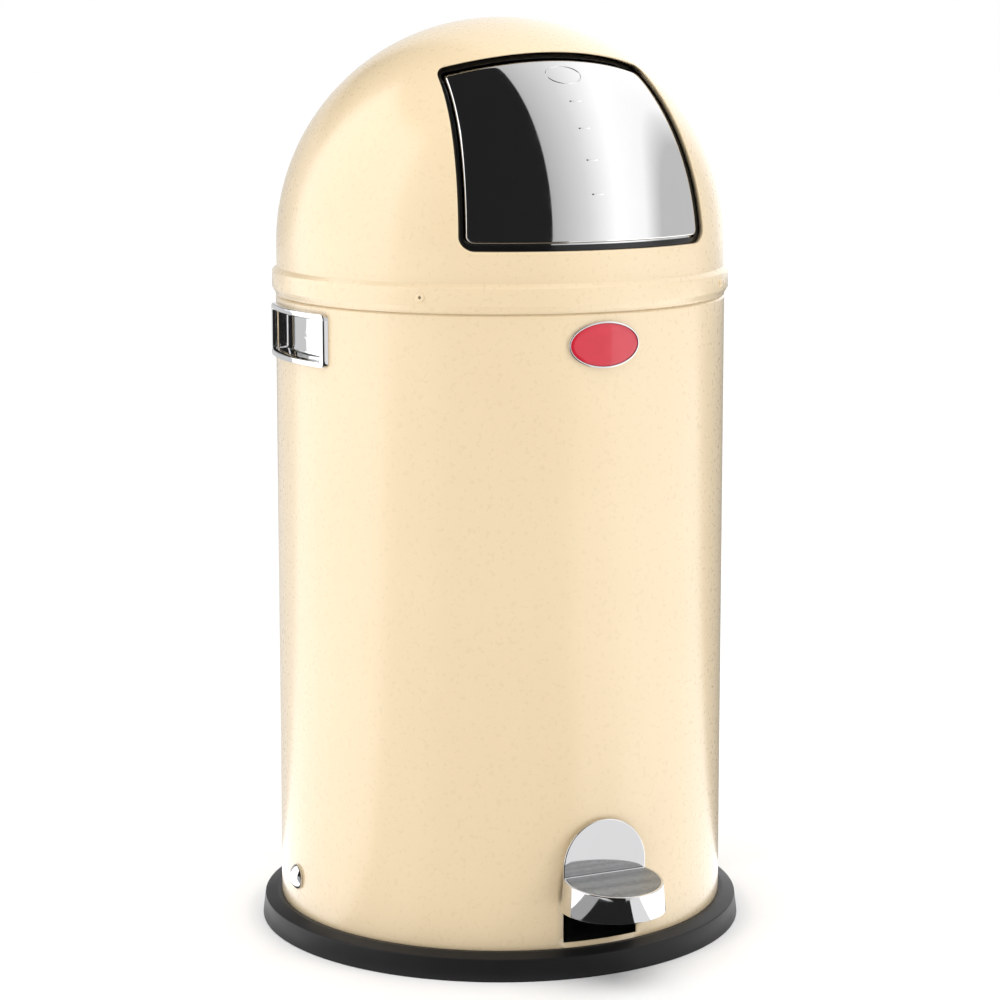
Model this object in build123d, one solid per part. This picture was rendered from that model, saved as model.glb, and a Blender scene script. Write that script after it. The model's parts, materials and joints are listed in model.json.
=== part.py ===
from build123d import *
from math import asin, cos, degrees, hypot, radians, sin, tan
import os

# Pedal trash can: a painted sheet cylinder on a black foot ring, with a lift-off domed hood.
# Millimetres. The origin is on the floor at the body's axis, +Z is up and the front faces -Y.
# The pedal lever lifts a push rod at the rear. The rod pushes a curved strip round the inside
# of the hood, and the strip's fork turns the flap inwards about its hinge shaft.

os.makedirs("parts", exist_ok=True)

# ---- driving dimensions ----
SHEET = 1.0
BODY_R = 186.0
BODY_FOOT_Z = 8.0
BODY_SHOULDER_Z = 526.8
NECK_R = 184.4
NECK_BASE_Z = 528.4
NECK_TOP_Z = 549.0

HOOD_R = 185.4
HOOD_EDGE_Z = 529.0
DOME_Z = 569.6
BEAD_R = 188.9
BEAD_LOW_Z = 535.0
BEAD_HIGH_Z = 548.6
RIVET_Z = 541.3
RIVET_AZIMUTHS = (45, 135, 225, 315)

RING_R = 202.3
RING_TOP_Z = 21.0

AXLE_Z = 50.5
AXLE_R = 5.0
PEDAL_PRESS_DEG = 8.0
TREAD_R = 40.0
TREAD_FLARE = 2.2
TREAD_Y = -205.0
TREAD_TOP_Z = 80.8
TREAD_SLOPE_DEG = 5.2
TREAD_LOW_Z = 55.0
HEEL_Y = -188.8
HEEL_THICK = 2.2
HEEL_R = 36.8
HEEL_Z = 88.0
LEVER_HALF_WIDTH = 17.0
LEVER_LOW_Z = 57.0
LEVER_TOP_Z = 65.0
LEVER_WEB = 2.5
LEVER_FRONT_Y = -236.0
LEVER_REAR_Y = 168.0
LIFT_PAD_TOP_Z = 67.0
PEDAL_SCREW_YS = (-226.0, -206.0)
PAD_BORDER = 2.2
PAD_RECESS = 1.2

ROD_Y = 177.0
ROD_R = 3.0
ROD_TOP_Z = 552.0
ROD_TIP_R = 4.0
ROD_TIP_LOW_Z = 545.0
RUN_GAP = 0.3
GUIDE_LOW_ZS = (130.0, 330.0, 478.0)
GUIDE_HEIGHT = 8.0
COLLAR_HEIGHT = 6.0
SPRING_LOW_Z = 240.0
SPRING_HIGH_Z = 330.0
SPRING_WIRE_R = 0.7

SLOT_HALF_WIDTH = 33.0
SLOT_LOW_Z = 25.0
SLOT_HIGH_Z = 76.0

HANDLE_Z = 501.3
HANDLE_WIDTH = 110.0
HANDLE_HEIGHT = 43.5
HANDLE_BORDER = 6.0
HANDLE_PROUD = 4.4
CUP_FLOOR_R = 176.0
CUP_WALL = 1.5
STUD_Y = 52.4

BADGE_Z = 503.5
BADGE_WIDTH = 62.0
BADGE_HEIGHT = 37.0

FLAP_R = 181.5
FLAP_GAP = 6.0
FLAP_FLANGE_R = 178.6
LIP_DEPTH_R = 180.6
GASKET_WIDTH = 4.6
OPENING_BOTTOM_Z = 576.8
OPENING_TOP_Z = 727.4
OPENING_TOP_R = 320.0
OPENING_HALF_WIDTH = 108.3
OPENING_WIDEST_Z = 560.0
OPENING_SIDE_R = 700.0
OPENING_CORNER_R = 11.0

HINGE_R = 145.5
HINGE_ANGLE = 22.5
FLAP_SWING_DEG = 55.0
SHAFT_R = 3.0
TUBE_R = 5.5
BRACKET_X = 69.0
CRANK_X = 9.3
PIN_R = 2.5

STRIP_MID_R = 177.0
STRIP_THICK = 2.0
STRIP_HALF_WIDTH = 8.0
STRIP_X = (-STRIP_HALF_WIDTH, STRIP_HALF_WIDTH)
FOOT_SPAN = 3.5
FORK_HALF_SPAN = 1.9

SHELF_Z = 88.0
SHELF_NOTCH_Y = 140.0
BUCKET_FOOT_Z = 90.0
BUCKET_TOP_Z = 506.0
BUCKET_FOOT_R = 158.4
BUCKET_TOP_R = 167.6
BUCKET_WALL = 0.8
BAIL_Z = 494.0
BAIL_R = 152.0
BAIL_WIRE_R = 2.5

# ---- motion worked out from the driving dimensions ----
press = radians(PEDAL_PRESS_DEG)
pad_height = LIFT_PAD_TOP_Z - AXLE_Z
ROD_LIFT = (ROD_Y + pad_height * sin(press)) * tan(press) + pad_height * cos(press) - pad_height
FOOT_ANGLE = -degrees(asin(8.5 / STRIP_MID_R))
foot_drop = STRIP_MID_R * sin(radians(FOOT_ANGLE))
LIFTER_TURN_DEG = degrees(asin((foot_drop + ROD_LIFT) / STRIP_MID_R)) - FOOT_ANGLE
half_swing = radians(FLAP_SWING_DEG / 2)
half_turn = tan(radians(LIFTER_TURN_DEG / 2))
CRANK_R = HINGE_R * half_turn / (sin(half_swing) - half_turn * cos(half_swing))
HINGE_Y = -HINGE_R * sin(radians(HINGE_ANGLE))
HINGE_Z = DOME_Z + HINGE_R * cos(radians(HINGE_ANGLE))
CRANK_ANGLE = radians(HINGE_ANGLE - FLAP_SWING_DEG / 2)
PIN_Y = HINGE_Y - CRANK_R * sin(CRANK_ANGLE)
PIN_Z = HINGE_Z + CRANK_R * cos(CRANK_ANGLE)
FORK_ANGLE = 90 + HINGE_ANGLE - LIFTER_TURN_DEG / 2


def save(node, shapes):
    """Write one node, made as one shape or a list of them, as the group of its separate solids."""
    shapes = shapes if isinstance(shapes, list) else [shapes]
    solids = [solid for shape in shapes for solid in shape.solids()]
    shape = solids[0] if len(solids) == 1 else Compound(solids)
    export_step(shape, f"parts/{node}.step")


def turned(points):
    """Solid of revolution about Z from (radius, height) points."""
    return revolve(Plane.XZ * make_face(Polyline(*points, close=True)), Axis.Z)


def tube(outer_r, inner_r, low_z, high_z):
    """Vertical tube about the body's axis."""
    height = high_z - low_z
    middle = (low_z + high_z) / 2
    return Pos(0, 0, middle) * (Cylinder(outer_r, height) - Cylinder(inner_r, height + 1))


def post(x, y, radius, low_z, high_z):
    """Vertical round bar."""
    return Pos(x, y, (low_z + high_z) / 2) * Cylinder(radius, high_z - low_z)


def block(x_range, y_range, z_range):
    """Box from its three ranges."""
    sizes = [high - low for low, high in (x_range, y_range, z_range)]
    middles = [(high + low) / 2 for low, high in (x_range, y_range, z_range)]
    return Pos(*middles) * Box(*sizes)


def bar_x(y, z, radius, x_low, x_high):
    """Round bar along X."""
    return extrude(Plane.YZ.offset(x_low) * Pos(y, z) * Circle(radius), amount=x_high - x_low)


def plate_x(face, x_low, x_high):
    """Plate of a (y, z) outline between two X positions."""
    return extrude(Plane.YZ.offset(x_low) * face, amount=x_high - x_low)


def prism_y(face, near_y=60.0, far_y=215.0):
    """Prism of an (x, z) outline that runs towards the front."""
    return extrude(Plane.XZ.offset(near_y) * face, amount=far_y - near_y)


def prism_x(width, height, corner_r, low_x=150.0, high_x=215.0):
    """Rounded rectangular prism out of the +X side at handle height."""
    face = Pos(0, HANDLE_Z) * RectangleRounded(width, height, corner_r)
    return extrude(Plane.YZ.offset(low_x) * face, amount=high_x - low_x)


def dome_shell(outer_r, inner_r):
    """Spherical shell about the dome's centre."""
    return Pos(0, 0, DOME_Z) * (Sphere(outer_r) - Sphere(inner_r))


def arc_band(inner_r, outer_r, start, end, x_low, x_high):
    """Band about the dome's centre; 0 degrees points to the rear and 90 degrees up."""
    outer = CenterArc((0, 0), outer_r, start, end - start)
    inner = CenterArc((0, 0), inner_r, start, end - start)
    face = make_face([outer, inner, Line(outer @ 0, inner @ 0), Line(outer @ 1, inner @ 1)])
    return plate_x(Pos(0, DOME_Z) * face, x_low, x_high)


def opening_prism(grow):
    """Flap opening seen from the front, grown outwards by a margin and run towards the front."""
    side_x = OPENING_SIDE_R - OPENING_HALF_WIDTH
    bottom_z = OPENING_BOTTOM_Z - grow
    face = Pos(0, OPENING_TOP_Z - OPENING_TOP_R) * Circle(OPENING_TOP_R + grow)
    face &= Pos(side_x, OPENING_WIDEST_Z) * Circle(OPENING_SIDE_R + grow)
    face &= Pos(-side_x, OPENING_WIDEST_Z) * Circle(OPENING_SIDE_R + grow)
    face &= Pos(0, bottom_z + 200) * Rectangle(400, 400)
    prism = prism_y(face)
    return fillet(prism.edges().filter_by(Axis.Y), OPENING_CORNER_R + grow)


# ---- fixed body ----
def make_outer_shell():
    inner_r = BODY_R - SHEET
    neck_inner_r = NECK_R - SHEET
    profile = [
        (BODY_R, BODY_FOOT_Z),
        (BODY_R, BODY_SHOULDER_Z),
        (NECK_R, NECK_BASE_Z),
        (NECK_R, NECK_TOP_Z),
        (neck_inner_r - SHEET, NECK_TOP_Z),
        (neck_inner_r - SHEET, NECK_TOP_Z - 5),
        (neck_inner_r, NECK_TOP_Z - 5),
        (neck_inner_r, NECK_BASE_Z - 0.4),
        (inner_r, BODY_SHOULDER_Z - 0.4),
        (inner_r, BODY_FOOT_Z),
    ]
    shell = turned(profile)
    slot_x = (-SLOT_HALF_WIDTH, SLOT_HALF_WIDTH)
    shell -= block(slot_x, (-BODY_R - 10, -BODY_R + 20), (SLOT_LOW_Z, SLOT_HIGH_Z))
    shell -= bar_x(0, AXLE_Z, AXLE_R + 0.1, -BODY_R - 5, BODY_R + 5)
    cup = prism_x(HANDLE_WIDTH - 2 * HANDLE_BORDER, HANDLE_HEIGHT - 2 * HANDLE_BORDER, 4)
    for turn in (0, 180):
        shell -= Rot(Z=turn) * cup
        for y in (-STUD_Y, STUD_Y):
            shell -= Rot(Z=turn) * bar_x(y, HANDLE_Z, 1.7, 160, 195)
    return shell


def make_foot_ring():
    outline = Polyline(
        (RING_R - 2, RING_TOP_Z - 3.4),
        (RING_R, 0),
        (180, 0),
        (180, 4),
        (174, 4),
        (174, BODY_FOOT_Z - 0.2),
        (BODY_R + 0.15, BODY_FOOT_Z - 0.2),
        (BODY_R + 0.15, RING_TOP_Z),
        (BODY_R + 4, RING_TOP_Z),
        (RING_R - 4.3, RING_TOP_Z - 1.7),
    )
    edge_start = (RING_R - 4.3, RING_TOP_Z - 1.7)
    edge_middle = (RING_R - 2.7, RING_TOP_Z - 2.2)
    edge = ThreePointArc(edge_start, edge_middle, (RING_R - 2, RING_TOP_Z - 3.4))
    face = make_face([outline, edge])
    ring = revolve(Plane.XZ * face, Axis.Z)
    for angle in range(0, 360, 60):
        ring -= Rot(Z=angle) * post(177, 0, 1.6, 3, 9)
    return ring


def make_ring_screws():
    screw = post(177, 0, 2.6, 1.6, 4) + post(177, 0, 1.5, 3.5, 13)
    return [Rot(Z=angle) * screw for angle in range(0, 360, 60)]


def make_floor_pan():
    rim_r = BODY_R - SHEET - 0.1
    pan = tube(rim_r, rim_r - SHEET, BODY_FOOT_Z, 21)
    pan += post(0, 0, rim_r, BODY_FOOT_Z, BODY_FOOT_Z + 1.2)
    for angle in range(0, 360, 60):
        pan -= Rot(Z=angle) * post(177, 0, 1.6, 5, 13)
    return pan


def make_shelf_posts():
    low_z = BODY_FOOT_Z + 1.2
    column = post(100, 100, 8, low_z, SHELF_Z) - post(100, 100, 6.5, low_z - 1, SHELF_Z + 1)
    return [Rot(Z=angle) * column for angle in (0, 90, 180, 270)]


def make_bucket_shelf():
    shelf_r = 168.0
    shelf = post(0, 0, shelf_r, SHELF_Z, SHELF_Z + 1.5)
    shelf += tube(shelf_r, shelf_r - 1.5, SHELF_Z - 8, SHELF_Z + 0.5)
    shelf -= block((-21, 21), (-180, 180), (SHELF_Z - 9, SHELF_Z))
    shelf -= block((-21, 21), (SHELF_NOTCH_Y, 180), (SHELF_Z - 9, SHELF_Z + 2))
    return shelf


def make_handle():
    """Handle on the +X side: a bezel on the shell and a finger cup through it."""
    corner_r = 6.0
    inner_width = HANDLE_WIDTH - 2 * HANDLE_BORDER - 0.4
    inner_height = HANDLE_HEIGHT - 2 * HANDLE_BORDER - 0.4
    outer = prism_x(HANDLE_WIDTH, HANDLE_HEIGHT, corner_r)
    cup_outer = prism_x(inner_width, inner_height, 4)
    cup_inner = prism_x(inner_width - 2 * CUP_WALL, inner_height - 2 * CUP_WALL, 3)
    face_r = BODY_R + HANDLE_PROUD
    height = (HANDLE_Z - 40, HANDLE_Z + 40)
    bezel = tube(face_r, BODY_R + 0.05, *height) & outer
    cup = tube(BODY_R + 1, CUP_FLOOR_R, *height) & cup_outer
    hollow = tube(face_r + 5, CUP_FLOOR_R + CUP_WALL, *height) & cup_inner
    handle = bezel + cup - hollow
    for y in (-STUD_Y, STUD_Y):
        wall_x = (BODY_R ** 2 - STUD_Y ** 2) ** 0.5
        handle += bar_x(y, HANDLE_Z, 1.5, wall_x - 6, wall_x + 2)
    return handle


def make_handle_nuts():
    inner_x = ((BODY_R - SHEET) ** 2 - (STUD_Y + 3.2) ** 2) ** 0.5
    nuts = []
    for turn in (0, 180):
        for y in (-STUD_Y, STUD_Y):
            face = Pos(y, HANDLE_Z) * (RegularPolygon(3.2, 6) - Circle(1.55))
            nuts.append(Rot(Z=turn) * plate_x(face, inner_x - 3.2, inner_x - 0.2))
    return nuts


def badge_prism(margin):
    return prism_y(Pos(0, BADGE_Z) * Ellipse(BADGE_WIDTH / 2 - margin, BADGE_HEIGHT / 2 - margin))


def make_badge_rim():
    height = (BADGE_Z - 30, BADGE_Z + 30)
    plate = tube(BODY_R + 1.0, BODY_R + 0.05, *height) & badge_prism(0)
    rim = tube(BODY_R + 2.4, BODY_R + 0.5, *height) & (badge_prism(0) - badge_prism(1.6))
    return plate + rim


def make_badge():
    height = (BADGE_Z - 30, BADGE_Z + 30)
    return tube(BODY_R + 2.0, BODY_R + 1.05, *height) & badge_prism(1.7)


# ---- axle and its fittings ----
def make_pedal_axle():
    end_x = BODY_R + 3.5
    return bar_x(0, AXLE_Z, AXLE_R, -end_x, end_x)


def make_axle_caps():
    cap_r = 10.3
    rim = 1.6
    height = 6.8
    rise = height - rim
    crown_r = (cap_r ** 2 + rise ** 2) / (2 * rise)
    centre = height - crown_r
    middle = (cap_r * 0.6, centre + (crown_r ** 2 - (cap_r * 0.6) ** 2) ** 0.5)
    crown = ThreePointArc((cap_r, rim), middle, (0, height))
    side = Polyline((0, height), (0, 0), (cap_r, 0), (cap_r, rim))
    cap = revolve(Plane.XZ * make_face([side, crown]), Axis.Z)
    cap -= post(0, 0, AXLE_R, -1, 3.5)
    cap = Pos(BODY_R, 0, AXLE_Z) * Rot(Y=90) * cap
    return [cap, Rot(Z=180) * cap]


def make_axle_spacers():
    low_x = 19.5
    high_x = BODY_R - SHEET - 0.6
    spacer = bar_x(0, AXLE_Z, 7, low_x, high_x) - bar_x(0, AXLE_Z, AXLE_R + 0.1, low_x - 1, high_x + 1)
    return [spacer, Rot(Z=180) * spacer]


# ---- push rod, its guides and spring ----
def make_rod_guides():
    guides = []
    wall_r = BODY_R - SHEET
    for low_z in GUIDE_LOW_ZS:
        high_z = low_z + GUIDE_HEIGHT
        guide = post(0, ROD_Y, 5.2, low_z, high_z)
        guide += block((-7, 7), (ROD_Y + 3.5, BODY_R + 5), (low_z, high_z))
        guide += block((-12, 12), (BODY_R - 4.5, BODY_R + 5), (low_z - 8, high_z + 8))
        guide &= post(0, 0, wall_r - 0.02, low_z - 10, high_z + 10)
        guide -= post(0, 0, wall_r - 1.8, low_z - 10, low_z)
        guide -= post(0, 0, wall_r - 1.8, high_z, high_z + 10)
        guide -= post(0, ROD_Y, ROD_R + 0.08, low_z - 1, high_z + 1)
        guides.append(guide)
    return guides


def make_push_rod():
    low_z = LIFT_PAD_TOP_Z + RUN_GAP
    rod = post(0, ROD_Y, ROD_R, low_z + ROD_R, ROD_TOP_Z)
    return rod + Pos(0, ROD_Y, low_z + ROD_R) * Sphere(ROD_R)


def make_rod_tip():
    top_z = DOME_Z + foot_drop - RUN_GAP
    crown_r = 6.0
    crown = Pos(0, ROD_Y, top_z - crown_r) * Sphere(crown_r)
    crown += post(0, ROD_Y, ROD_TIP_R + 0.1, ROD_TIP_LOW_Z - 5, ROD_TOP_Z + 3)
    tip = post(0, ROD_Y, ROD_TIP_R, ROD_TIP_LOW_Z, top_z) & crown
    return tip - post(0, ROD_Y, ROD_R, ROD_TIP_LOW_Z - 5, ROD_TOP_Z)


def make_rod_collar():
    collar = post(0, ROD_Y, 5.2, SPRING_LOW_Z - COLLAR_HEIGHT, SPRING_LOW_Z)
    return collar - post(0, ROD_Y, ROD_R, SPRING_LOW_Z - 20, SPRING_LOW_Z + 20)


def make_return_spring():
    end_gap = 0.1
    height = SPRING_HIGH_Z - SPRING_LOW_Z - 2 * (SPRING_WIRE_R + end_gap)
    helix = Helix(pitch=7.5, height=height, radius=4.8)
    wire = sweep(Plane(helix @ 0, z_dir=helix % 0) * Circle(SPRING_WIRE_R), path=helix)
    return Pos(0, ROD_Y, SPRING_LOW_Z + SPRING_WIRE_R + end_gap) * wire


# ---- pedal ----
def sloped(shape):
    """Tilts a shape about the tread's rear edge, so that it falls towards the front."""
    hinge = Pos(0, HEEL_Y - HEEL_THICK, TREAD_TOP_Z)
    return hinge * Rot(X=TREAD_SLOPE_DEG) * hinge.inverse() * shape


def tread_body():
    """Hollow tread: a flared disc cut straight at the rear and open below."""
    wall = 2.5
    roof = 3.2
    height = TREAD_TOP_Z - TREAD_LOW_Z
    middle = (TREAD_TOP_Z + TREAD_LOW_Z) / 2
    foot_r = TREAD_R + TREAD_FLARE
    heel_front_y = HEEL_Y - HEEL_THICK
    outer = Pos(0, TREAD_Y, middle) * Cone(foot_r, TREAD_R, height)
    inner = Pos(0, TREAD_Y, middle) * Cone(foot_r - wall, TREAD_R - wall, height)
    inner -= sloped(block((-90, 90), (-300, -150), (TREAD_TOP_Z - roof, TREAD_TOP_Z + 40)))
    behind = block((-60, 60), (HEEL_Y, HEEL_Y + 60), (TREAD_LOW_Z - 5, TREAD_TOP_Z + 5))
    rear_wall = block((-60, 60), (heel_front_y, HEEL_Y), (TREAD_LOW_Z - 9, TREAD_TOP_Z - roof))
    outer -= sloped(block((-90, 90), (-300, -150), (TREAD_TOP_Z, TREAD_TOP_Z + 40)))
    return outer - behind - (inner - rear_wall)


def heel_plate():
    """Upright half-round plate at the rear edge of the tread."""
    foot_z = TREAD_TOP_Z - 4
    disc = Pos(0, HEEL_Y, HEEL_Z) * Rot(X=90) * post(0, 0, HEEL_R, 0, HEEL_THICK)
    plate = disc + block((-HEEL_R, HEEL_R), (HEEL_Y - HEEL_THICK, HEEL_Y), (foot_z, HEEL_Z))
    return plate - block((-60, 60), (HEEL_Y - 10, HEEL_Y + 10), (0, foot_z))


def make_pedal_casting():
    boss_r = 5.0
    screw_depth = 9.0
    room_half = LEVER_HALF_WIDTH + 1
    casting = tread_body() + heel_plate()
    casting -= block((-room_half, room_half), (HEEL_Y - 5, HEEL_Y + 5), (40, LEVER_TOP_Z + 1))
    for y in PEDAL_SCREW_YS:
        casting += post(0, y, boss_r, LEVER_TOP_Z, TREAD_TOP_Z - 5)
    casting -= sloped(tread_cut(TREAD_TOP_Z - PAD_RECESS, TREAD_TOP_Z + 1, 0))
    for y in PEDAL_SCREW_YS:
        casting -= post(0, y, 2, LEVER_TOP_Z - 1, LEVER_TOP_Z + screw_depth)
    return casting


def tread_cut(low_z, high_z, gap):
    """Room of the tread pad: a disc with a straight rear edge."""
    disc = post(0, TREAD_Y, TREAD_R - PAD_BORDER - gap, low_z, high_z)
    rear_y = HEEL_Y - HEEL_THICK - 0.8 - gap
    return disc - block((-60, 60), (rear_y, rear_y + 60), (low_z - 1, high_z + 1))


def make_tread_pad():
    return sloped(tread_cut(TREAD_TOP_Z - PAD_RECESS, TREAD_TOP_Z + 0.5, 0.1))


def make_pedal_lever():
    half = LEVER_HALF_WIDTH
    length = (LEVER_FRONT_Y, LEVER_REAR_Y)
    lever = block((-half, half), length, (LEVER_TOP_Z - LEVER_WEB, LEVER_TOP_Z))
    for side in (-1, 1):
        span = sorted((side * half, side * (half - LEVER_WEB)))
        lever += block(span, length, (LEVER_LOW_Z, LEVER_TOP_Z))
        lever += bar_x(0, AXLE_Z, 11, *span)
    lever -= bar_x(0, AXLE_Z, 7, -half - 1, half + 1)
    for y in PEDAL_SCREW_YS:
        lever -= post(0, y, 2.2, LEVER_LOW_Z, LEVER_TOP_Z + 1)
    return lever


def make_pivot_tube():
    half = LEVER_HALF_WIDTH + 2
    return bar_x(0, AXLE_Z, 7, -half, half) - bar_x(0, AXLE_Z, AXLE_R + 0.05, -half - 1, half + 1)


def make_pedal_screws():
    web_low_z = LEVER_TOP_Z - LEVER_WEB
    screws = []
    for y in PEDAL_SCREW_YS:
        head = post(0, y, 4, web_low_z - 2.6, web_low_z)
        screws.append(head + post(0, y, 2, web_low_z - 1, LEVER_TOP_Z + 9))
    return screws


def make_lift_pad():
    pad = block((-9, 9), (LEVER_REAR_Y - 18, LEVER_REAR_Y + 15), (LEVER_TOP_Z, LIFT_PAD_TOP_Z))
    pad += block((-9, 9), (LEVER_REAR_Y, LEVER_REAR_Y + 15), (LEVER_LOW_Z + 2, LIFT_PAD_TOP_Z))
    return pad


def make_lever_bumper():
    return post(0, 130, 12, BODY_FOOT_Z + 1.2, LEVER_TOP_Z - LEVER_WEB - 0.3)


# ---- hood ----
def make_hood():
    inner_r = HOOD_R - SHEET
    outer = Polyline(
        (BODY_R, HOOD_EDGE_Z),
        (BODY_R, HOOD_EDGE_Z + 1.5),
        (BEAD_R, BEAD_LOW_Z),
        (BEAD_R, BEAD_HIGH_Z),
        (HOOD_R, BEAD_HIGH_Z + 3.5),
        (HOOD_R, DOME_Z),
    )
    inner = Polyline(
        (inner_r, DOME_Z),
        (inner_r, BEAD_HIGH_Z + 3.1),
        (BEAD_R - SHEET, BEAD_HIGH_Z - 0.4),
        (BEAD_R - SHEET, BEAD_LOW_Z + 0.4),
        (BODY_R - SHEET, HOOD_EDGE_Z + 1.9),
        (BODY_R - SHEET, HOOD_EDGE_Z),
    )
    dome = CenterArc((0, DOME_Z), HOOD_R, 0, 90)
    ceiling = CenterArc((0, DOME_Z), inner_r, 0, 90)
    crown = Line((0, DOME_Z + HOOD_R), (0, DOME_Z + inner_r))
    bottom = Line((BODY_R - SHEET, HOOD_EDGE_Z), (BODY_R, HOOD_EDGE_Z))
    profile = make_face([outer, dome, crown, ceiling, inner, bottom])
    hood = revolve(Plane.XZ * profile, Axis.Z)
    hood -= opening_prism(0)
    band = opening_prism(SHEET) - opening_prism(0)
    hood += dome_shell(HOOD_R - 0.5, LIP_DEPTH_R) & band
    for azimuth in RIVET_AZIMUTHS:
        hood -= Rot(Z=azimuth) * rivet_bar(2.4, 180, 195)
    return hood


def rivet_bar(radius, inner, outer):
    """Radial round bar at the rivets' height, on the front side."""
    return extrude(Plane.XZ.offset(inner) * Pos(0, RIVET_Z) * Circle(radius), amount=outer - inner)


def make_locating_tabs():
    outer_r = BEAD_R - SHEET - 0.02
    ring = tube(outer_r, NECK_R + 0.6, BEAD_LOW_Z + 0.6, BEAD_HIGH_Z - 2)
    tab = ring & block((-12, 12), (-200, -150), (500, 560))
    tab -= rivet_bar(2.4, 180, 195)
    return [Rot(Z=azimuth) * tab for azimuth in RIVET_AZIMUTHS]


def make_hood_rivets():
    head_r = 3.9
    bar = rivet_bar(2.35, NECK_R + 0.8, BEAD_R + 0.4)
    head = rivet_bar(head_r, BEAD_R + 0.02, BEAD_R + 1.7)
    outer_edge = head.edges().filter_by(GeomType.CIRCLE).sort_by(Axis.Y)[0]
    head = fillet(outer_edge, 1.1)
    rivet = bar + head - rivet_bar(1.1, NECK_R, BEAD_R + 5)
    return [Rot(Z=azimuth) * rivet for azimuth in RIVET_AZIMUTHS]


def make_gasket():
    band = opening_prism(-0.05) - opening_prism(-GASKET_WIDTH)
    return dome_shell(FLAP_R + 0.4, FLAP_FLANGE_R + 0.7) & band


def make_hinge_brackets():
    inner_r = HOOD_R - SHEET - 0.02
    inside = Pos(0, 0, DOME_Z) * Sphere(inner_r)
    web_low = HINGE_ANGLE + 84
    brackets = []
    for side in (-1, 1):
        span = sorted((side * BRACKET_X, side * (BRACKET_X + 2)))
        foot_span = sorted((side * (BRACKET_X - 12), side * (BRACKET_X + 2)))
        plate = bar_x(HINGE_Y, HINGE_Z, 8, *span)
        plate += arc_band(HINGE_R - 2, HOOD_R, 96, web_low, *span)
        plate += arc_band(HINGE_R - 5, HINGE_R + 6, 96, HINGE_ANGLE + 90, *span)
        foot = arc_band(140, HOOD_R, 96, web_low, *foot_span) & dome_shell(inner_r, inner_r - 1.6)
        bracket = (plate & inside) + foot
        bracket -= bar_x(HINGE_Y, HINGE_Z, SHAFT_R, -90, 90)
        brackets.append(bracket)
    return brackets


def make_hinge_shaft():
    end_x = BRACKET_X + 5
    return bar_x(HINGE_Y, HINGE_Z, SHAFT_R, -end_x, end_x)


def make_shaft_clips():
    low_x = BRACKET_X + 2.1
    clip = bar_x(HINGE_Y, HINGE_Z, 5, low_x, low_x + 1.2) - bar_x(HINGE_Y, HINGE_Z, SHAFT_R, 0, 90)
    return [clip, mirror(clip, about=Plane.YZ)]


def make_lifter_guides():
    half = STRIP_HALF_WIDTH + 0.5
    low_r = STRIP_MID_R - 1.5
    high_r = STRIP_MID_R + 1.5
    guides = []
    for angle in (15, 48, 81):
        guide = arc_band(low_r - 1.2, HOOD_R, angle - 2, angle + 2, -half - 1.2, half + 1.2)
        guide -= arc_band(low_r, high_r, angle - 3, angle + 3, -half, half)
        guide -= arc_band(high_r + 1.2, HOOD_R + 1, angle - 3, angle + 3, -half, half)
        guides.append(guide & (Pos(0, 0, DOME_Z) * Sphere(HOOD_R - SHEET - 0.02)))
    return guides


def make_flap_spring():
    helix = Helix(pitch=2.6, height=24, radius=7.3)
    coil = sweep(Plane(helix @ 0, z_dir=helix % 0) * Circle(0.8), path=helix)
    return Pos(17, HINGE_Y, HINGE_Z) * Rot(Y=90) * coil


# ---- lifter ----
def make_lifter_strip():
    half = STRIP_THICK / 2
    start = FOOT_ANGLE + FOOT_SPAN
    end = FORK_ANGLE - FORK_HALF_SPAN
    return arc_band(STRIP_MID_R - half, STRIP_MID_R + half, start, end, *STRIP_X)


def make_lifter_foot():
    return arc_band(STRIP_MID_R - 4.5, STRIP_MID_R + 4, FOOT_ANGLE, FOOT_ANGLE + FOOT_SPAN, *STRIP_X)


def make_lifter_fork():
    slot_half = degrees((PIN_R + RUN_GAP) / STRIP_MID_R)
    pin_low_r = hypot(PIN_Y, PIN_Z - DOME_Z)
    pin_high_r = HINGE_R + CRANK_R
    slot_low = pin_low_r - PIN_R - 0.5
    slot_high = pin_high_r + PIN_R + 0.5
    outer_r = STRIP_MID_R + STRIP_THICK / 2
    start = FORK_ANGLE - FORK_HALF_SPAN
    fork = arc_band(slot_low - 2.5, outer_r, start, FORK_ANGLE + FORK_HALF_SPAN, *STRIP_X)
    return fork - arc_band(slot_low, slot_high, FORK_ANGLE - slot_half, FORK_ANGLE + slot_half, -10, 10)


# ---- flap ----
def make_flap_panel():
    edge = 1.0
    panel_prism = opening_prism(-FLAP_GAP)
    core_prism = opening_prism(-FLAP_GAP - edge)
    flange_prism = opening_prism(-1.5)
    panel = dome_shell(FLAP_R, FLAP_R - SHEET) & panel_prism
    panel += dome_shell(FLAP_R - 0.5, FLAP_FLANGE_R - 0.5) & (panel_prism - core_prism)
    panel += dome_shell(FLAP_FLANGE_R, FLAP_FLANGE_R - SHEET) & (flange_prism - core_prism)
    return panel


def make_flap_tube():
    end_x = BRACKET_X - 1
    return bar_x(HINGE_Y, HINGE_Z, TUBE_R, -end_x, end_x) - bar_x(HINGE_Y, HINGE_Z, SHAFT_R + 0.06, -90, 90)


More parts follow.
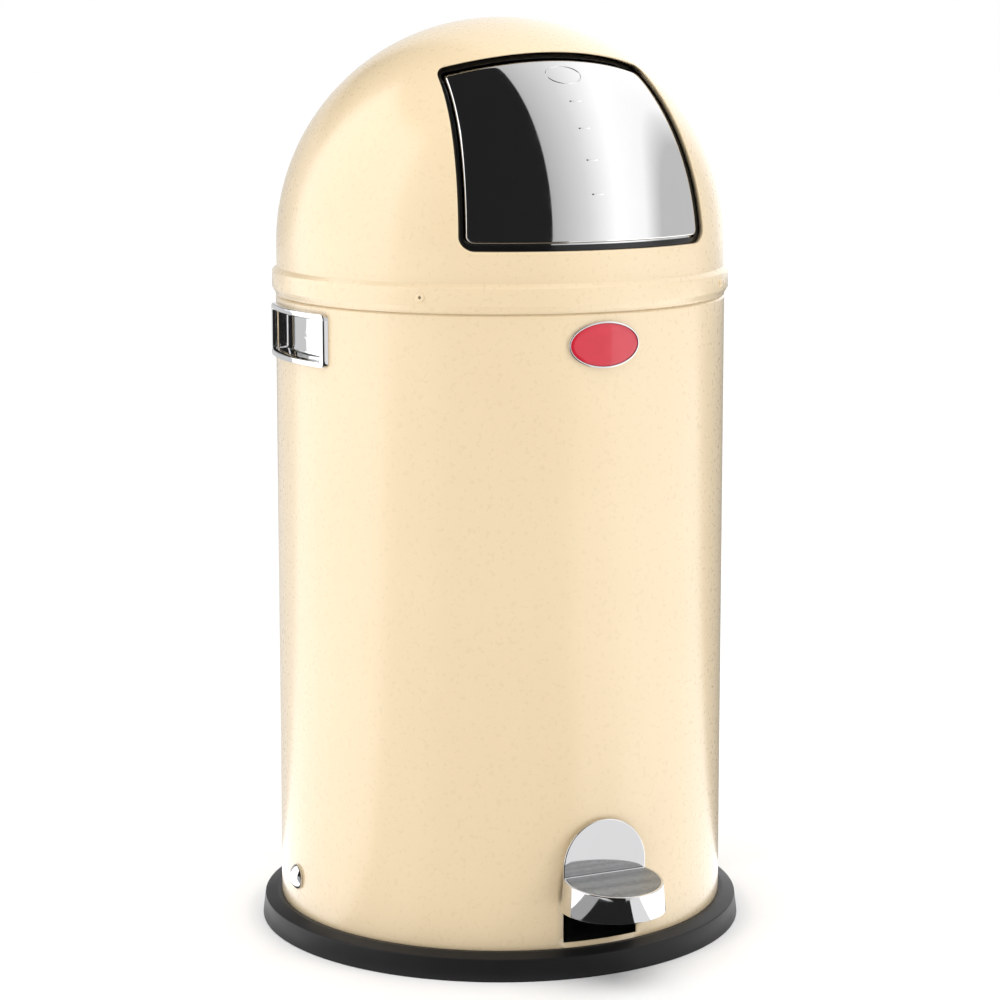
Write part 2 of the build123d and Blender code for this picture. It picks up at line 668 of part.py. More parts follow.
def make_flap_arms():
    inside = Pos(0, 0, DOME_Z) * Sphere(FLAP_R - SHEET - 0.02)
    arms = []
    for side in (-1, 1):
        outline = Polyline(
            (HINGE_Y, HINGE_Z + 7),
            (HINGE_Y - 66, HINGE_Z - 8),
            (HINGE_Y - 102, HINGE_Z - 58),
            (HINGE_Y - 70, HINGE_Z - 62),
            (HINGE_Y, HINGE_Z - 7),
            close=True,
        )
        span = sorted((side * 50, side * 52))
        foot_span = sorted((side * 42, side * 52))
        foot_outline = arc_band(120, FLAP_R, 130, 152, *foot_span)
        arm = plate_x(make_face(outline), *span) + bar_x(HINGE_Y, HINGE_Z, 8, *span)
        foot = foot_outline & dome_shell(FLAP_R - SHEET - 0.02, FLAP_R - SHEET - 1.6)
        arm = (arm & inside) + foot
        arms.append(arm - bar_x(HINGE_Y, HINGE_Z, TUBE_R, -90, 90))
    return arms


def make_crank_arms():
    arms = []
    for side in (-1, 1):
        span = sorted((side * CRANK_X, side * (CRANK_X + 2.5)))
        arm = bar_x(HINGE_Y, HINGE_Z, 8, *span) + bar_x(PIN_Y, PIN_Z, 5, *span)
        beam = Rot(Z=degrees(CRANK_ANGLE)) * Rectangle(9, CRANK_R)
        arm += plate_x(Pos((HINGE_Y + PIN_Y) / 2, (HINGE_Z + PIN_Z) / 2) * beam, *span)
        arm -= bar_x(HINGE_Y, HINGE_Z, TUBE_R, -90, 90)
        arms.append(arm - bar_x(PIN_Y, PIN_Z, PIN_R, -90, 90))
    return arms


def make_crank_pin():
    end_x = CRANK_X + 3.5
    return bar_x(PIN_Y, PIN_Z, PIN_R, -end_x, end_x)


# ---- inner bucket ----
def make_bucket():
    wall = turned([
        (BUCKET_FOOT_R, BUCKET_FOOT_Z),
        (BUCKET_TOP_R, BUCKET_TOP_Z),
        (BUCKET_TOP_R - BUCKET_WALL, BUCKET_TOP_Z),
        (BUCKET_FOOT_R - BUCKET_WALL, BUCKET_FOOT_Z),
    ])
    base = post(0, 0, BUCKET_FOOT_R - 0.3, BUCKET_FOOT_Z + 4, BUCKET_FOOT_Z + 4.8)
    rim = Pos(0, 0, BUCKET_TOP_Z + 1) * Torus(BUCKET_TOP_R + 0.8, 2.0)
    return wall + base + rim


def make_bail_ears():
    inner_r = BUCKET_TOP_R - BUCKET_WALL - 0.6
    ear = block((161, 175), (-9, 9), (BAIL_Z - 10, BAIL_Z + 10))
    ear &= post(0, 0, inner_r, BAIL_Z - 20, BAIL_Z + 20)
    ear -= bar_x(0, BAIL_Z, BAIL_WIRE_R + 0.06, 150, 165)
    return [ear, Rot(Z=180) * ear]


def make_bail_wire():
    path = CenterArc((0, 0, BAIL_Z), BAIL_R, 0, 180)
    wire = sweep(Plane(path @ 0, z_dir=path % 0) * Circle(BAIL_WIRE_R), path=path)
    for side in (-1, 1):
        wire += bar_x(0, BAIL_Z, BAIL_WIRE_R, *sorted((side * BAIL_R, side * 164.5)))
        wire += Pos(side * BAIL_R, 0, BAIL_Z) * Sphere(BAIL_WIRE_R)
    return wire


def make_bail_grip():
    path = CenterArc((0, 0, BAIL_Z), BAIL_R, 74, 32)
    section = Plane(path @ 0, z_dir=path % 0)
    grip = sweep(section * Circle(7), path=path)
    return grip - sweep(section * Circle(BAIL_WIRE_R + 0.02), path=path)


def make_handle_left():
    return Rot(Z=180) * make_handle()


NODES = {
    "outer_shell": make_outer_shell,
    "foot_ring": make_foot_ring,
    "ring_screws": make_ring_screws,
    "floor_pan": make_floor_pan,
    "shelf_posts": make_shelf_posts,
    "bucket_shelf": make_bucket_shelf,
    "handle_right": make_handle,
    "handle_left": make_handle_left,
    "handle_nuts": make_handle_nuts,
    "badge_rim": make_badge_rim,
    "badge": make_badge,
    "pedal_axle": make_pedal_axle,
    "axle_caps": make_axle_caps,
    "axle_spacers": make_axle_spacers,
    "rod_guides": make_rod_guides,
    "return_spring": make_return_spring,
    "lever_bumper": make_lever_bumper,
    "push_rod": make_push_rod,
    "rod_tip": make_rod_tip,
    "rod_collar": make_rod_collar,
    "pedal_casting": make_pedal_casting,
    "tread_pad": make_tread_pad,
    "pedal_lever": make_pedal_lever,
    "lever_pivot_tube": make_pivot_tube,
    "pedal_screws": make_pedal_screws,
    "lift_pad": make_lift_pad,
    "hood": make_hood,
    "flap_gasket": make_gasket,
    "hood_rivets": make_hood_rivets,
    "locating_tabs": make_locating_tabs,
    "hinge_brackets": make_hinge_brackets,
    "hinge_shaft": make_hinge_shaft,
    "shaft_clips": make_shaft_clips,
    "lifter_guides": make_lifter_guides,
    "flap_spring": make_flap_spring,
    "lifter_strip": make_lifter_strip,
    "lifter_foot": make_lifter_foot,
    "lifter_fork": make_lifter_fork,
    "flap_panel": make_flap_panel,
    "flap_tube": make_flap_tube,
    "flap_arms": make_flap_arms,
    "crank_arms": make_crank_arms,
    "crank_pin": make_crank_pin,
    "bucket": make_bucket,
    "bail_ears": make_bail_ears,
    "bail_wire": make_bail_wire,
    "bail_grip": make_bail_grip,
}

for node, make in NODES.items():
    save(node, make())
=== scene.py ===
import json
from math import acos, asin, atan2, cos, hypot, pi, radians, sin, sqrt
import bmesh
import bpy
from mathutils import Matrix, Vector


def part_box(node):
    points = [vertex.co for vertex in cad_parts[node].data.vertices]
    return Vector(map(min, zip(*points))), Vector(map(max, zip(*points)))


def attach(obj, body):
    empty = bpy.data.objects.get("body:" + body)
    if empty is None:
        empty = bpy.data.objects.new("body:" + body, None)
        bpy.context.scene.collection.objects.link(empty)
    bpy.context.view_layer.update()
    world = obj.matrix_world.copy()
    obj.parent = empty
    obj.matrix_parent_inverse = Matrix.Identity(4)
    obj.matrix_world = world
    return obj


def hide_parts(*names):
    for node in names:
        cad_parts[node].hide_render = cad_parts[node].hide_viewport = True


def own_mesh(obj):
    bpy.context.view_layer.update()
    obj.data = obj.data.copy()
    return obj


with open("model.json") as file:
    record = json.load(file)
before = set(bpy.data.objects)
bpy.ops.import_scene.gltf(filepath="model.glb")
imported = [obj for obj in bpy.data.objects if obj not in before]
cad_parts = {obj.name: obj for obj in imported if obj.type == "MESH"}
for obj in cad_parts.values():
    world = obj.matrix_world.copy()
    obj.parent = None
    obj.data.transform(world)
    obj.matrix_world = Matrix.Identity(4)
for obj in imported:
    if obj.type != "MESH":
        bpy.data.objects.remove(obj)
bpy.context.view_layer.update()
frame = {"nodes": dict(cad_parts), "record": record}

# Pedal trash can. Lengths in the shape functions are in millimetres, in the row's frame, and
# MM turns them into metres. The front faces -Y, and +Z is up.
MM = 0.001


def corner(node, high, axis):
    """One coordinate of a CAD node's box, in millimetres."""
    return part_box(node)[high][axis] / MM


BODY_R = corner("outer_shell", 1, 0)
SHELL_FOOT_Z = corner("outer_shell", 0, 2)
SHELL_TOP_Z = corner("outer_shell", 1, 2)
SHEET = 1.0
NECK_R = BODY_R - 1.6
SHOULDER_Z = SHELL_TOP_Z - 22.2
SLOT_HALF = 33.0
SLOT_Z = (25.0, 76.0)

HOOD_EDGE_Z = corner("hood", 0, 2)
HOOD_TOP_Z = corner("hood", 1, 2)
BEAD_R = corner("hood", 1, 0)
HOOD_R = BEAD_R - 3.5
DOME_Z = HOOD_TOP_Z - HOOD_R
BEAD_LOW_Z = HOOD_EDGE_Z + 6.0
BEAD_HIGH_Z = HOOD_EDGE_Z + 19.6
BEAD_TOP_Z = BEAD_HIGH_Z + 3.5
RIVET_Z = (corner("hood_rivets", 0, 2) + corner("hood_rivets", 1, 2)) / 2

RING_R = corner("foot_ring", 1, 0)
RING_TOP_Z = corner("foot_ring", 1, 2)

OPENING_BOTTOM_Z = 576.8
OPENING_TOP_Z = 727.4
OPENING_TOP_R = 320.0
OPENING_HALF = 108.3
OPENING_WIDEST_Z = 560.0
OPENING_SIDE_R = 700.0
OPENING_CORNER_R = 11.0
LIP_R = 180.6
FLAP_R = 181.5
FLAP_GAP = 6.0

AXLE_Z = (corner("axle_caps", 0, 2) + corner("axle_caps", 1, 2)) / 2
AXLE_CAP_R = 10.3
AXLE_CAP_X = corner("axle_caps", 1, 0)

TREAD_TOP_Z = corner("tread_pad", 1, 2) - 0.5
TREAD_LOW_Z = corner("pedal_casting", 0, 2)
TREAD_Y = -205.0
TREAD_R = 40.0
TREAD_FLARE = 2.2
TREAD_SLOPE = 0.091
PAD_BORDER = 2.2
HEEL_FRONT_Y = -191.0
HEEL_BACK_Y = corner("pedal_casting", 1, 1)
HEEL_R = 36.8
HEEL_Z = 88.0

HANDLE_Z = (corner("handle_right", 0, 2) + corner("handle_right", 1, 2)) / 2
HANDLE_HALF = (corner("handle_right", 1, 1) - 0.01, (corner("handle_right", 1, 2) - HANDLE_Z))
HANDLE_FACE_R = BODY_R + 4.4
CUP_FLOOR_R = 177.6

BADGE_Z = (corner("badge_rim", 0, 2) + corner("badge_rim", 1, 2)) / 2
BADGE_HALF = (corner("badge_rim", 1, 0), corner("badge_rim", 1, 2) - BADGE_Z)


# ---- mesh helpers ----
def new_piece(name, points, faces, material, body, smooth=True):
    """Mesh object from millimetre points, riding on a body."""
    mesh = bpy.data.meshes.new(name)
    mesh.from_pydata([Vector(point) * MM for point in points], [], faces)
    mesh.validate()
    mesh.materials.append(material)
    for polygon in mesh.polygons:
        polygon.use_smooth = smooth
    piece = bpy.data.objects.new(name, mesh)
    bpy.context.scene.collection.objects.link(piece)
    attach(piece, body)
    return piece


def grid_faces(rows, columns, wrap_rows, wrap_columns, start=0):
    """Quads of a grid of points that may close on itself in either direction."""
    faces = []
    row_steps = rows if wrap_rows else rows - 1
    column_steps = columns if wrap_columns else columns - 1
    for row in range(row_steps):
        below = start + row * columns
        above = start + ((row + 1) % rows) * columns
        for column in range(column_steps):
            after = (column + 1) % columns
            faces.append((below + column, below + after, above + after, above + column))
    return faces


def rounded(points, radius, steps=4, closed=False):
    """Polyline with each inner corner turned into an arc."""
    count = len(points)
    result = []
    for index, point in enumerate(points):
        at_end = index in (0, count - 1) and not closed
        radius_here = radius[index] if isinstance(radius, (list, tuple)) else radius
        if at_end or radius_here == 0:
            result.append(point)
            continue
        here = Vector(point)
        before = Vector(points[index - 1]) - here
        after = Vector(points[(index + 1) % count]) - here
        turn = before.angle(after)
        cut = radius_here / max(1e-6, sin(turn / 2)) * cos(turn / 2)
        cut = min(cut, before.length * 0.49, after.length * 0.49)
        start = here + before.normalized() * cut
        end = here + after.normalized() * cut
        for step in range(steps + 1):
            t = step / steps
            bend = start * (1 - t) ** 2 + here * 2 * t * (1 - t) + end * t ** 2
            result.append(tuple(bend))
    return result


def lathe(name, profile, material, body, segments=192, centre=(0, 0, 0), axis="Z", closed=True):
    """Solid of revolution from (radius, height) points; ends on the axis become poles."""
    points = []
    for radius, height in profile:
        for index in range(segments):
            angle = 2 * pi * index / segments
            points.append(turned_point(radius, height, angle, centre, axis))
    faces = grid_faces(len(profile), segments, closed, True)
    return new_piece(name, *merged(points, faces), material, body)


def turned_point(radius, height, angle, centre, axis):
    across = (radius * cos(angle), radius * sin(angle))
    if axis == "Z":
        local = (across[0], across[1], height)
    elif axis == "X":
        local = (height, across[0], across[1])
    else:
        local = (across[1], -height, across[0])
    return tuple(a + b for a, b in zip(local, centre))


def merged(points, faces):
    """Joins points that share a place and drops the faces that this flattens."""
    places = {}
    kept = []
    new_index = []
    for point in points:
        key = tuple(round(value, 5) for value in point)
        if key not in places:
            places[key] = len(kept)
            kept.append(point)
        new_index.append(places[key])
    clean = []
    for face in faces:
        ring = []
        for index in face:
            if new_index[index] not in ring:
                ring.append(new_index[index])
        if len(ring) > 2:
            clean.append(tuple(ring))
    return kept, clean


def arc_points(centre, radius, start, end, steps):
    """Points round an arc, without its last one."""
    points = []
    for step in range(steps):
        angle = radians(start + (end - start) * step / steps)
        points.append((centre[0] + radius * cos(angle), centre[1] + radius * sin(angle)))
    return points


def line_points(start, end, steps):
    """Even points of a line, without its last one."""
    points = []
    for step in range(steps):
        t = step / steps
        points.append((start[0] + (end[0] - start[0]) * t, start[1] + (end[1] - start[1]) * t))
    return points


def rounded_rectangle(half_width, half_height, radius, least_radius=1.5):
    """Outline function of a rounded rectangle: it takes the growth and gives the points."""
    def outline(grow):
        r = max(least_radius, radius + grow)
        x = half_width + grow - r
        y = half_height + grow - r
        points = line_points((-x, -y - r), (x, -y - r), 48)
        points += arc_points((x, -y), r, -90, 0, 8)
        points += line_points((x + r, -y), (x + r, y), 18)
        points += arc_points((x, y), r, 0, 90, 8)
        points += line_points((x, y + r), (-x, y + r), 48)
        points += arc_points((-x, y), r, 90, 180, 8)
        points += line_points((-x - r, y), (-x - r, -y), 18)
        return points + arc_points((-x, -y), r, 180, 270, 8)
    return outline


def opening_outline(grow):
    """Front outline of the flap opening: a straight bottom, bowed sides and a bowed top."""
    corner_r = max(3.0, OPENING_CORNER_R + grow)
    side_x = OPENING_SIDE_R - OPENING_HALF
    side_r = OPENING_SIDE_R + grow
    top_r = OPENING_TOP_R + grow
    top_centre = (0, OPENING_TOP_Z - OPENING_TOP_R)
    side_centre = (-side_x, OPENING_WIDEST_Z)
    bottom_z = OPENING_BOTTOM_Z - grow
    low_z = bottom_z + corner_r
    low_x = sqrt((side_r - corner_r) ** 2 - (low_z - OPENING_WIDEST_Z) ** 2) - side_x
    high = circles_cross(side_centre, side_r - corner_r, top_centre, top_r - corner_r)
    side_low = angle_from(side_centre, (low_x, low_z))
    side_high = angle_from(side_centre, high)
    top_angle = angle_from(top_centre, high)
    right = [
        ((low_x, low_z), corner_r, -90, side_low, 10),
        (side_centre, side_r, side_low, side_high, 56),
        (high, corner_r, side_high, top_angle, 10),
        (top_centre, top_r, top_angle, 90, 36),
    ]
    points = line_points((0, bottom_z), (low_x, bottom_z), 36)
    for centre, radius, start, end, steps in right:
        points += arc_points(centre, radius, start, end, steps)
    for centre, radius, start, end, steps in reversed(right):
        points += arc_points((-centre[0], centre[1]), radius, 180 - end, 180 - start, steps)
    return points + line_points((-low_x, bottom_z), (0, bottom_z), 36)


def angle_from(centre, point):
    return atan2(point[1] - centre[1], point[0] - centre[0]) * 180 / pi


def circles_cross(first, first_r, second, second_r):
    """Right-hand crossing of two circles."""
    apart = hypot(second[0] - first[0], second[1] - first[1])
    along = (apart ** 2 + first_r ** 2 - second_r ** 2) / (2 * apart)
    aside = sqrt(first_r ** 2 - along ** 2)
    ex = ((second[0] - first[0]) / apart, (second[1] - first[1]) / apart)
    middle = (first[0] + along * ex[0], first[1] + along * ex[1])
    options = [(middle[0] - aside * ex[1], middle[1] + aside * ex[0])]
    options.append((middle[0] + aside * ex[1], middle[1] - aside * ex[0]))
    return max(options, key=lambda point: point[1])


def swept_frame(name, outline, stations, place, material, body, fills=(), closed=True):
    """Sweeps (grow, height) stations round an outline; each fill closes an end towards a centre.

    place(u, v, height) gives the 3-D point. A fill is (station index, centre, rings, flip)."""
    points = []
    rings = [outline(grow) for grow, height in stations]
    for ring, (grow, height) in zip(rings, stations):
        points += [place(u, v, height) for u, v in ring]
    count = len(rings[0])
    faces = grid_faces(len(stations), count, closed, True)
    for station, centre, fill_rings, flip in fills:
        start = (station % len(stations)) * count
        add_fill(points, faces, rings[station], stations[station][1], start, centre, fill_rings, place, flip)
    return outward(new_piece(name, points, faces, material, body))


def add_fill(points, faces, edge, height, edge_start, centre, rings, place, flip):
    """Closes an outline with shrinking rings and a middle point."""
    count = len(edge)
    previous = edge_start
    for ring in range(1, rings):
        share = 1 - ring / rings
        start = len(points)
        for u, v in edge:
            inner = (centre[0] + (u - centre[0]) * share, centre[1] + (v - centre[1]) * share)
            points.append(place(*inner, height))
        for index in range(count):
            after = (index + 1) % count
            quad = (previous + index, previous + after, start + after, start + index)
            faces.append(quad[::-1] if flip else quad)
        previous = start
    middle = len(points)
    points.append(place(*centre, height))
    for index in range(count):
        triangle = (previous + index, previous + (index + 1) % count, middle)
        faces.append(triangle[::-1] if flip else triangle)


def tube_along(name, path, radius, material, body, sides=12, closed=False):
    """Round tube along a list of 3-D points."""
    points = []
    count = len(path)
    side = Vector((0, 0, 1))
    for index, here in enumerate(path):
        before = Vector(path[index - 1]) if index or closed else Vector(here)
        after = Vector(path[(index + 1) % count]) if index < count - 1 or closed else Vector(here)
        along = (after - before).normalized()
        side = (side - along * side.dot(along)).normalized()
        other = along.cross(side)
        width = radius(index / (count - 1)) if callable(radius) else radius
        for step in range(sides):
            angle = 2 * pi * step / sides
            points.append(Vector(here) + (side * cos(angle) + other * sin(angle)) * width)
    faces = grid_faces(count, sides, closed, True)
    if not closed:
        faces.append(tuple(reversed(range(sides))))
        faces.append(tuple(range((count - 1) * sides, count * sides)))
    return new_piece(name, points, faces, material, body)


def outward(piece):
    """Makes all of a piece's faces look outwards."""
    built = bmesh.new()
    built.from_mesh(piece.data)
    bmesh.ops.recalc_face_normals(built, faces=built.faces)
    built.to_mesh(piece.data)
    built.free()
    return piece


# ---- placing functions ----
def on_dome(u, v, radius):
    """Point of a dome of that radius over the front outline (u, v)."""
    rise = max(0.0, v - DOME_Z)
    return u, -sqrt(max(0.0, radius ** 2 - u ** 2 - rise ** 2)), v


def on_front(u, v, radius):
    return u, -sqrt(radius ** 2 - u ** 2), v


def on_right(u, v, radius):
    return sqrt(radius ** 2 - u ** 2), u, v + HANDLE_Z


def on_left(u, v, radius):
    return -sqrt(radius ** 2 - u ** 2), -u, v + HANDLE_Z


# ---- materials ----
def node_material(name):
    material = bpy.data.materials.new(name)
    material.use_nodes = True
    nodes = material.node_tree.nodes
    shader = nodes["Principled BSDF"]
    return material, nodes, material.node_tree.links, shader


def position_of(nodes, links, scale):
    """Object coordinates, scaled from metres."""
    source = nodes.new("ShaderNodeTexCoord")
    mapping = nodes.new("ShaderNodeMapping")
    mapping.inputs["Scale"].default_value = scale
    links.new(source.outputs["Object"], mapping.inputs["Vector"])
    return mapping.outputs["Vector"]


def noise(nodes, links, vector, scale, detail=3.0, roughness=0.5):
    texture = nodes.new("ShaderNodeTexNoise")
    texture.inputs["Scale"].default_value = scale
    texture.inputs["Detail"].default_value = detail
    texture.inputs["Roughness"].default_value = roughness
    links.new(vector, texture.inputs["Vector"])
    return texture.outputs["Fac"]


def spread(nodes, links, value, low, high, from_low=0.3, from_high=0.7):
    """Maps a texture value to a range."""
    mapper = nodes.new("ShaderNodeMapRange")
    mapper.inputs["From Min"].default_value = from_low
    mapper.inputs["From Max"].default_value = from_high
    mapper.inputs["To Min"].default_value = low
    mapper.inputs["To Max"].default_value = high
    links.new(value, mapper.inputs["Value"])
    return mapper.outputs["Result"]


def two_tone(nodes, links, value, dark, light):
    mix = nodes.new("ShaderNodeMix")
    mix.data_type = "RGBA"
    mix.inputs["A"].default_value = (*dark, 1)
    mix.inputs["B"].default_value = (*light, 1)
    links.new(value, mix.inputs["Factor"])
    return mix.outputs["Result"]


def add_bump(nodes, links, shader, value, strength, distance):
    bump = nodes.new("ShaderNodeBump")
    bump.inputs["Strength"].default_value = strength
    bump.inputs["Distance"].default_value = distance
    links.new(value, bump.inputs["Height"])
    links.new(bump.outputs["Normal"], shader.inputs["Normal"])


def powder_coat(name, dark, light):
    """Glossy powder coat with faint orange peel and slow colour drift."""
    material, nodes, links, shader = node_material(name)
    vector = position_of(nodes, links, (1, 1, 1))
    drift = spread(nodes, links, noise(nodes, links, vector, 6.0, 2.0), 0.0, 1.0)
    links.new(two_tone(nodes, links, drift, dark, light), shader.inputs["Base Color"])
    smear = spread(nodes, links, noise(nodes, links, vector, 260.0, 2.0), 0.27, 0.29)
    links.new(smear, shader.inputs["Roughness"])
    shader.inputs["Coat Weight"].default_value = 0.9
    shader.inputs["Coat Roughness"].default_value = 0.2
    peel = noise(nodes, links, vector, 420.0, 2.0, 0.4)
    add_bump(nodes, links, shader, peel, 0.04, 0.0003)
    return material


def bright_metal(name, colour, low, high, streak=(1, 1, 1), streak_scale=60.0, wave=0.02):
    """Polished metal: slightly uneven gloss and a faint hand-polished wave."""
    material, nodes, links, shader = node_material(name)
    vector = position_of(nodes, links, streak)
    patches = noise(nodes, links, vector, streak_scale, 4.0, 0.6)
    darker = tuple(value * 0.96 for value in colour)
    links.new(two_tone(nodes, links, patches, darker, colour), shader.inputs["Base Color"])
    links.new(spread(nodes, links, patches, low, high), shader.inputs["Roughness"])
    shader.inputs["Metallic"].default_value = 1.0
    add_bump(nodes, links, shader, noise(nodes, links, vector, streak_scale * 0.3, 2.0), wave, 0.0006)
    return material


def moulded(name, dark, light, low, high, grain_scale=900.0, grain=0.15, specular=0.5):
    """Moulded plastic or rubber with a fine grain."""
    material, nodes, links, shader = node_material(name)
    vector = position_of(nodes, links, (1, 1, 1))
    patches = noise(nodes, links, vector, 18.0, 3.0)
    links.new(two_tone(nodes, links, patches, dark, light), shader.inputs["Base Color"])
    links.new(spread(nodes, links, patches, low, high), shader.inputs["Roughness"])
    shader.inputs["Specular IOR Level"].default_value = specular
    add_bump(nodes, links, shader, noise(nodes, links, vector, grain_scale, 3.0), grain, 0.0003)
    return material


def galvanised(name):
    """Zinc sheet with crystal spangle."""
    material, nodes, links, shader = node_material(name)
    vector = position_of(nodes, links, (1, 1, 1))
    cells = nodes.new("ShaderNodeTexVoronoi")
    cells.inputs["Scale"].default_value = 90.0
    links.new(vector, cells.inputs["Vector"])
    grey = nodes.new("ShaderNodeRGBToBW")
    links.new(cells.outputs["Color"], grey.inputs["Color"])
    tone = two_tone(nodes, links, grey.outputs["Val"], (0.40, 0.42, 0.43), (0.62, 0.64, 0.65))
    links.new(tone, shader.inputs["Base Color"])
    links.new(spread(nodes, links, grey.outputs["Val"], 0.32, 0.5, 0, 1), shader.inputs["Roughness"])
    shader.inputs["Metallic"].default_value = 0.9
    add_bump(nodes, links, shader, noise(nodes, links, vector, 500.0), 0.05, 0.0002)
    return material


def enamel(name, dark, light):
    material, nodes, links, shader = node_material(name)
    vector = position_of(nodes, links, (1, 1, 1))
    patches = noise(nodes, links, vector, 90.0, 3.0)
    links.new(two_tone(nodes, links, patches, dark, light), shader.inputs["Base Color"])
    links.new(spread(nodes, links, patches, 0.14, 0.22), shader.inputs["Roughness"])
    shader.inputs["Coat Weight"].default_value = 0.8
    shader.inputs["Coat Roughness"].default_value = 0.05
    add_bump(nodes, links, shader, noise(nodes, links, vector, 300.0), 0.04, 0.0003)
    return material


def tread_surface(name):
    """Grey tread with fine pimples in rows, its colour painted darker in the gaps between them as painted
    shade.
    """
    material, nodes, links, shader = node_material(name)
    vector = position_of(nodes, links, (1, 1, 1))
    cells = nodes.new("ShaderNodeTexVoronoi")
    cells.inputs["Scale"].default_value = 620.0
    cells.inputs["Randomness"].default_value = 0.35
    links.new(vector, cells.inputs["Vector"])
    pimple = spread(nodes, links, cells.outputs["Distance"], 1.0, 0.0, 0.1, 0.6)
    # painted shade: the colour follows the pimple height, darker in the gaps between the pimples and lighter
    # on their tops
    tone = two_tone(nodes, links, pimple, (0.20, 0.205, 0.205), (0.44, 0.445, 0.445))
    links.new(tone, shader.inputs["Base Color"])
    links.new(spread(nodes, links, noise(nodes, links, vector, 200.0), 0.34, 0.5), shader.inputs["Roughness"])
    shader.inputs["Metallic"].default_value = 0.55
    add_bump(nodes, links, shader, pimple, 0.5, 0.0004)
    return material


CREAM = powder_coat("cream_powder_coat_paint", (0.845, 0.672, 0.430), (0.862, 0.690, 0.448))
CHROME = bright_metal("chrome_plating", (0.80, 0.80, 0.81), 0.03, 0.07)
FLAP_STEEL = bright_metal("polished_flap_steel", (0.82, 0.82, 0.82), 0.035, 0.06, wave=0.008)
ZINC = bright_metal("zinc_plated_steel", (0.58, 0.59, 0.60), 0.28, 0.42, streak_scale=140.0, wave=0.1)
SPRING = bright_metal("bright_spring_wire", (0.42, 0.43, 0.44), 0.2, 0.32, streak_scale=200.0)
RING_BLACK = moulded("ring_moulding", (0.010, 0.010, 0.011), (0.016, 0.016, 0.017), 0.34, 0.44, specular=0.22)
GASKET_BLACK = moulded("gasket_black", (0.006, 0.006, 0.006), (0.012, 0.012, 0.012), 0.12, 0.2, grain=0.04)
NYLON_BLACK = moulded("nylon_black", (0.02, 0.02, 0.021), (0.035, 0.035, 0.036), 0.45, 0.6)
SHEET_ZINC = galvanised("galvanised_spangle")
RED_ENAMEL = enamel("red_badge_enamel", (0.56, 0.008, 0.028), (0.68, 0.014, 0.04))
TREAD = tread_surface("tread_pimples")


# ---- painted shell ----
def marks_between(start, end, step, extra):
    """Even marks from start to end, with the nearest ones moved to the extra values."""
    count = round((end - start) / step)
    marks = [start + (end - start) * index / count for index in range(count + 1)]
    for value in extra:
        nearest = min(range(len(marks)), key=lambda index: abs(marks[index] - value))
        marks[nearest] = value
    return marks


def make_shell():
    slot_angle = asin(SLOT_HALF / BODY_R) * 180 / pi
    cup_angle = asin((HANDLE_HALF[0] - 6) / BODY_R) * 180 / pi
    cup_z = (HANDLE_Z - HANDLE_HALF[1] + 6, HANDLE_Z + HANDLE_HALF[1] - 6)
    edges = [-slot_angle, slot_angle]
    for middle in (-90, 90):
        edges += [middle - cup_angle, middle + cup_angle]
    angles = marks_between(-180, 180, 1.5, edges)[:-1]
    heights = marks_between(SHELL_FOOT_Z, SHOULDER_Z - 1.2, 12.0, [*SLOT_Z, *cup_z])
    profile = [(BODY_R, height) for height in heights]
    profile += rounded([(BODY_R, SHOULDER_Z - 1), (BODY_R, SHOULDER_Z), (NECK_R, SHOULDER_Z + 1.6),
                        (NECK_R, SHELL_TOP_Z - 0.1)], 1.0)[1:]
    points = [(r * sin(radians(a)), -r * cos(radians(a)), z) for r, z in profile for a in angles]
    holes = [(-slot_angle, slot_angle, *SLOT_Z)]
    holes += [(middle - cup_angle, middle + cup_angle, *cup_z) for middle in (-90, 90)]
    faces = []
    count = len(angles)
    for face in grid_faces(len(profile), count, False, True):
        row, column = divmod(face[0], count)
        angle = angles[column] + 0.3
        height = profile[row][1] + 0.3
        if any(low < angle < high and foot < height < top for low, high, foot, top in holes):
            continue
        faces.append(face)
    shell = new_piece("body_shell", points, faces, CREAM, "shell")
    wall = shell.modifiers.new("sheet_thickness", "SOLIDIFY")
    wall.thickness = SHEET * MM
    wall.offset = -1
    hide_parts("outer_shell")
    return shell


def make_foot_ring():
    profile = rounded([
        (180, 0.0), (RING_R, 0.0), (RING_R - 2.2, RING_TOP_Z - 3.2), (BODY_R + 4, RING_TOP_Z),
        (BODY_R + 0.15, RING_TOP_Z - 0.1),
        (BODY_R + 0.15, 7.8), (174, 7.8), (174, 4.0), (180, 4.0),
    ], [0.4, 0.9, 1.5, 2.0, 0.3, 0, 0.3, 0.3, 0], steps=6, closed=True)
    ring = outward(lathe("foot_ring_moulding", profile, RING_BLACK, "shell", 288))
    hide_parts("foot_ring")


# ---- hood ----
def hood_direction(azimuth, elevation):
    return Vector((sin(azimuth) * cos(elevation), -cos(azimuth) * cos(elevation), sin(elevation)))


def hood_surface(direction, inset):
    """Point where a direction from the dome's centre meets the hood, set in by some depth."""
    level = hypot(direction.x, direction.y)
    if direction.z >= 0:
        point = direction * (HOOD_R - inset)
    else:
        reach = (HOOD_R - inset) / level
        point = direction * reach
        point.z = direction.z * HOOD_R / level
    return Vector((point.x, point.y, point.z + DOME_Z))


def slerp(start, end, share):
    angle = acos(max(-1, min(1, start.dot(end))))
    if angle < 1e-6:
        return start.copy()
    return (start * sin((1 - share) * angle) + end * sin(share * angle)) / sin(angle)


LIP_ROUND = 1.6
BEAD_PROFILE = [
    (HOOD_R, BEAD_TOP_Z + 1.0), (HOOD_R, BEAD_TOP_Z), (BEAD_R, BEAD_HIGH_Z), (BEAD_R, BEAD_LOW_Z),
    (BODY_R, HOOD_EDGE_Z + 1.5), (BODY_R, HOOD_EDGE_Z),
]


